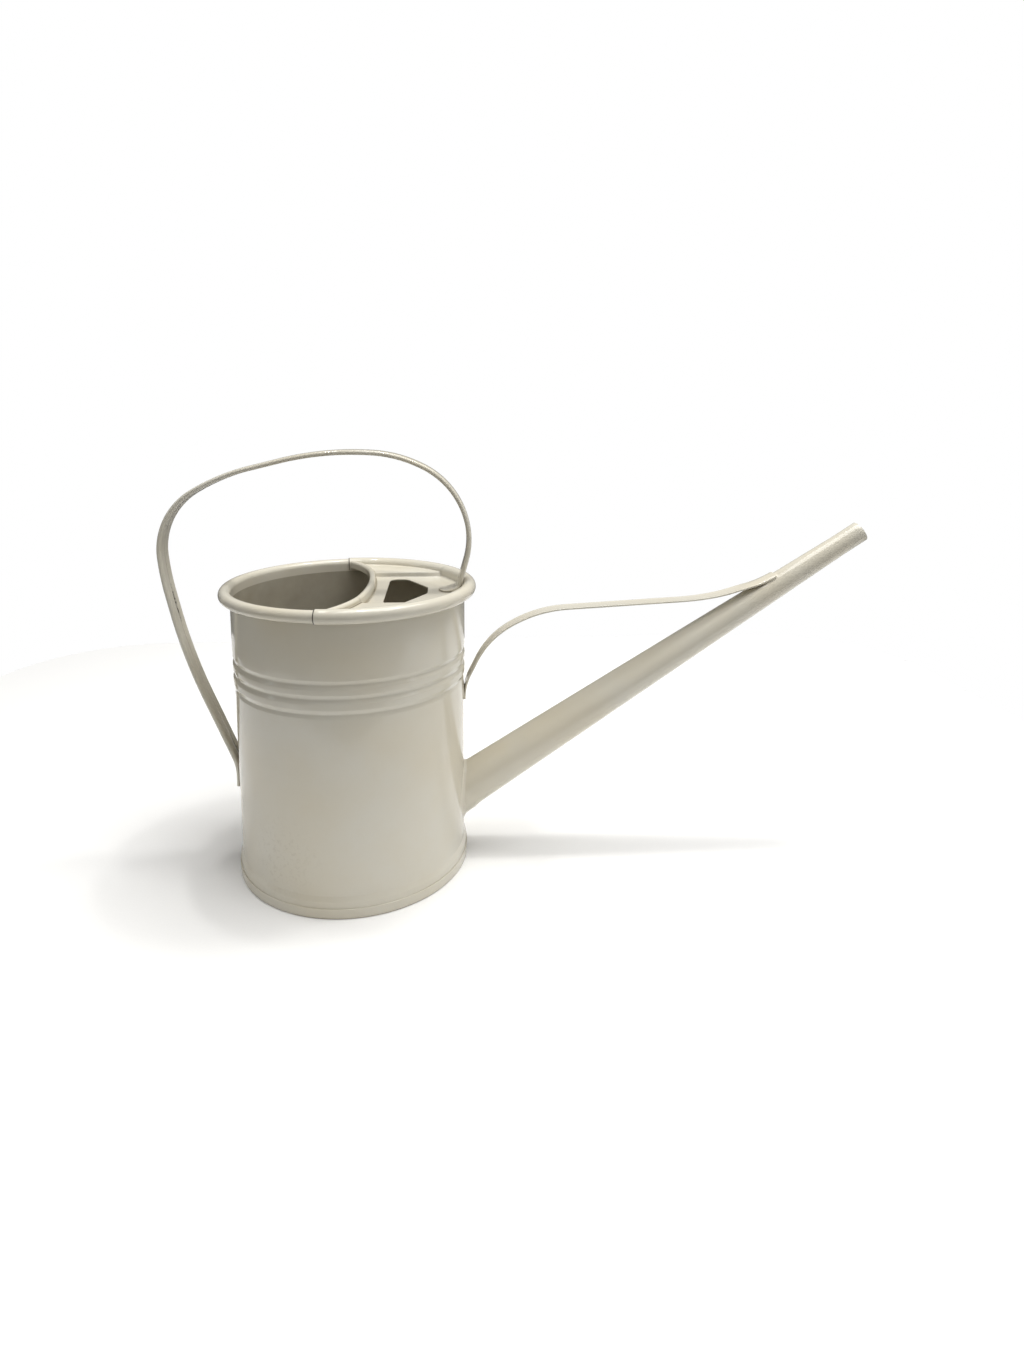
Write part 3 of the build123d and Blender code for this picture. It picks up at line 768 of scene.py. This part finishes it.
handle_bends = [bend * mm for bend in (3.2, 39.8, 42.6, 64.8, 153.9, 101.2, 36.1, 139.0, 280.0, 25.0)]
handle_line = bent_line(handle_corners, handle_bends, 1.3 * mm, 1.5 * mm)

seam_gap = 0.5 * mm
half, deep = (handle_width - handle_sheet) / 2, (handle_thick - handle_sheet) / 2
fold = [(-seam_gap / 2, deep), (-half, deep), (-half, -deep),
        (half, -deep), (half, deep), (seam_gap / 2, deep)]
fold_line = bent_line(fold, [0.95 * mm] * 4, 0.16 * mm, 0.6 * mm)
handle_section = strip(fold_line, handle_sheet / 2, handle_sheet / 2)
# where the seam has sprung open, as (height, reach, how far it gapes)
open_seams = ((141 * mm, 9 * mm, 0.7 * mm), (60 * mm, 7 * mm, 0.9 * mm))
total = left_to_go(handle_line)[0]
handle_rows = []
for point, way, remain in zip(handle_line, line_ways(handle_line), left_to_go(handle_line)):
    done = total - remain
    gape = sum(wide * (1 - soft_step(abs(point.y - height), reach * 0.7, reach * 0.3))
               for height, reach, wide in open_seams if point.x < 0)
    gape += 0.25 * mm * noise.noise(Vector((point.x, 0, point.y)) / (14 * mm))
    # the foot is rounded in plan, pressed thinner, and its seam opens in a small hollow
    foot = max(0.0, 1 - done / (handle_width / 2))
    narrow = max(0.04, sqrt(1 - foot ** 2))
    press = 0.42 + 0.58 * soft_step(done, 6 * mm, 4 * mm)
    gape += 1.2 * mm * (1 - soft_step(abs(done - 1.6 * mm), 0.6 * mm, 0.6 * mm))
    # the heel's end is pressed shut
    tail = soft_step(remain, 2.0 * mm, 2.0 * mm)
    row = []
    for p in handle_section:
        near_seam = (1 - soft_step(abs(p.x), 2.5 * mm, 2.0 * mm)) if p.y > 0 else 0.0
        across = (p.x + (gape / 2 * near_seam if p.x > 0 else -gape / 2 * near_seam)) * narrow
        crowned = 0.22 * mm * (2 * p.x / handle_width) ** 2 if p.y < 0 else 0.0
        lift = p.y + crowned
        lift = -handle_thick / 2 + (lift + handle_thick / 2) * press * (0.8 + 0.2 * tail)
        row.append(Vector((point.x - way.y * lift, across, point.y + way.x * lift)))
    handle_rows.append(row)
handle = skin("handle_strip", handle_rows, capped=True)
crisp(handle, 50)
# the coat has chipped off the seam's edges where the fold has sprung open
seam_chips = [(Vector((x * mm, 0, z * mm)), Vector((0, 1, 0)), 1.0 * mm, reach * mm, 1.0, 0.7)
              for x, z, reach in ((-93, 141, 13), (-66, 60, 11))]
handle.data.materials.append(powder_coat("ivory powder coat on the handle", seam_chips))
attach(handle, "root")
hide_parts("handle_strap")

# ---------------------------------------------------------------------------------------------
# Handle solder: the pad that holds the handle's lower end to the wall, run around its end.
# ---------------------------------------------------------------------------------------------
heel_pad = pad("handle_heel_solder", handle_width / 2 + 1.2 * mm, heel_length / 2 + 0.6 * mm,
               on_wall(-1, heel_bottom + heel_length / 2 - 0.6 * mm, 0.9 * mm))
heel_pad.data.materials.append(powder_coat("ivory powder coat over the handle's solder"))
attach(heel_pad, "root")
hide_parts("handle_heel_weld")

# ---------------------------------------------------------------------------------------------
# Table: a low round-cornered slab faced with matt white paper, that the can stands on.
# ---------------------------------------------------------------------------------------------
table_left, table_right, table_front, table_back, table_deep = -0.36, 0.50, -0.26, 0.40, 0.02
table_corners = [(0.0, table_front), (table_right, table_front), (table_right, table_back),
                 (table_left, table_back), (table_left, table_front), (0.0, table_front)]
table_line = bent_line(table_corners, [0.12] * 4, 0.02, 0.2)[:-1]
table_rows = [[Vector((p.x, p.y, z)) for p in table_line] for z in (-table_deep, 0.0)]
table = skin("paper_table", table_rows, capped=True)
paper = bpy.data.materials.new("matt white paper")
paper.use_nodes = True
paper.node_tree.nodes.clear()
paper_place = node(paper.node_tree, "ShaderNodeTexCoord", {}).outputs["Object"]
# paper tooth, 1 mm across
tooth = node(paper.node_tree, "ShaderNodeTexNoise", {"Scale": 1 / (1 * mm)}, {"Vector": paper_place})
paper_tone = node(paper.node_tree, "ShaderNodeMix",
                  {"data_type": "RGBA", 6: linear("#F7F7F7"), 7: linear("#FCFCFC")},
                  {0: tooth.outputs["Fac"]})
paper_bump = node(paper.node_tree, "ShaderNodeBump", {"Distance": 0.02 * mm},
                  {"Height": tooth.outputs["Fac"]})
paper_shader = node(paper.node_tree, "ShaderNodeBsdfPrincipled",
                    {"Roughness": 0.9, "Specular IOR Level": 0.2},
                    {"Base Color": paper_tone.outputs[2], "Normal": paper_bump.outputs[0]})
node(paper.node_tree, "ShaderNodeOutputMaterial", {}, {"Surface": paper_shader.outputs[0]})
table.data.materials.append(paper)

# ---------------------------------------------------------------------------------------------
# Light: a broad soft light overhead and to the right, in a dim room that is lighter towards its
# ceiling and its right side. Three ceiling lamps and two windows put the small highlights in the
# gloss. Seen directly, the room is plain white.
# ---------------------------------------------------------------------------------------------
room = bpy.data.worlds.new("dim_room")
room.use_nodes = True
room.node_tree.nodes.clear()
towards = node(room.node_tree, "ShaderNodeTexCoord", {}).outputs["Generated"]
parts = node(room.node_tree, "ShaderNodeSeparateXYZ", {}, {0: towards})
ceiling = node(room.node_tree, "ShaderNodeMapRange", {1: 0.1, 2: 1.0, 3: 0.14, 4: 0.42},
               {0: parts.outputs["Z"]})
window = node(room.node_tree, "ShaderNodeMapRange", {1: -0.2, 2: 1.0, 3: 0.0, 4: 0.24},
              {0: parts.outputs["X"]})
room_light = node(room.node_tree, "ShaderNodeMath", {"operation": "ADD"},
                  {0: ceiling.outputs[0], 1: window.outputs[0]})
dim = node(room.node_tree, "ShaderNodeBackground", {"Color": (1.0, 0.99, 0.97, 1)},
           {"Strength": room_light.outputs[0]})
white = node(room.node_tree, "ShaderNodeBackground", {"Color": (1, 1, 1, 1), "Strength": 1.0})
seen = node(room.node_tree, "ShaderNodeLightPath", {}).outputs["Is Camera Ray"]
either = node(room.node_tree, "ShaderNodeMixShader", {}, {0: seen, 1: dim.outputs[0], 2: white.outputs[0]})
node(room.node_tree, "ShaderNodeOutputWorld", {}, {"Surface": either.outputs[0]})
bpy.context.scene.world = room


def light(name, kind, place, aim, power, tint, **shape):
    """A light at a place, turned to face a point."""
    lamp = bpy.data.lights.new(name, kind)
    lamp.energy, lamp.color = power, tint
    for key, value in shape.items():
        setattr(lamp, key, value)
    holder = bpy.data.objects.new(name, lamp)
    holder.location = place
    holder.rotation_euler = (Vector(aim) - Vector(place)).to_track_quat("-Z", "Y").to_euler()
    bpy.context.scene.collection.objects.link(holder)


middle = (0.03, 0.0, 0.05)
light("overhead_panel", "AREA", (0.27, -0.04, 1.1), middle, 9.0, (1.0, 0.995, 0.98),
      shape="RECTANGLE", size=0.75, size_y=0.75)
for x in (-0.30, 0.12, 0.55):
    light("ceiling_lamp", "AREA", (x, 0.06, 1.5), middle, 2.4, (1.0, 0.99, 0.96),
          shape="RECTANGLE", size=0.14, size_y=0.06)
light("side_window", "AREA", (-0.95, -0.30, 0.45), (0, 0, 0.1), 0.3, (0.97, 0.99, 1.0),
      shape="RECTANGLE", size=0.06, size_y=0.5)
light("far_window", "AREA", (1.0, -0.45, 0.5), (0, 0, 0.1), 0.35, (0.97, 0.99, 1.0),
      shape="RECTANGLE", size=0.06, size_y=0.5)

# ---------------------------------------------------------------------------------------------
# Camera: near the can and a little above its rim, with a wide lens.
# ---------------------------------------------------------------------------------------------
camera = bpy.data.objects.new("camera", bpy.data.cameras.new("camera"))
camera.data.lens, camera.data.sensor_width = 20.27, 36.0
camera.data.shift_x, camera.data.shift_y = 0.0210, -0.1094
camera.data.clip_start = 0.01
camera.location = (0.0506, -0.3965, 0.2365)
camera.rotation_euler = (pi / 2 - 0.152, 0.0, -0.049)
bpy.context.scene.collection.objects.link(camera)
bpy.context.scene.camera = camera
bpy.context.scene.view_settings.view_transform = "Standard"
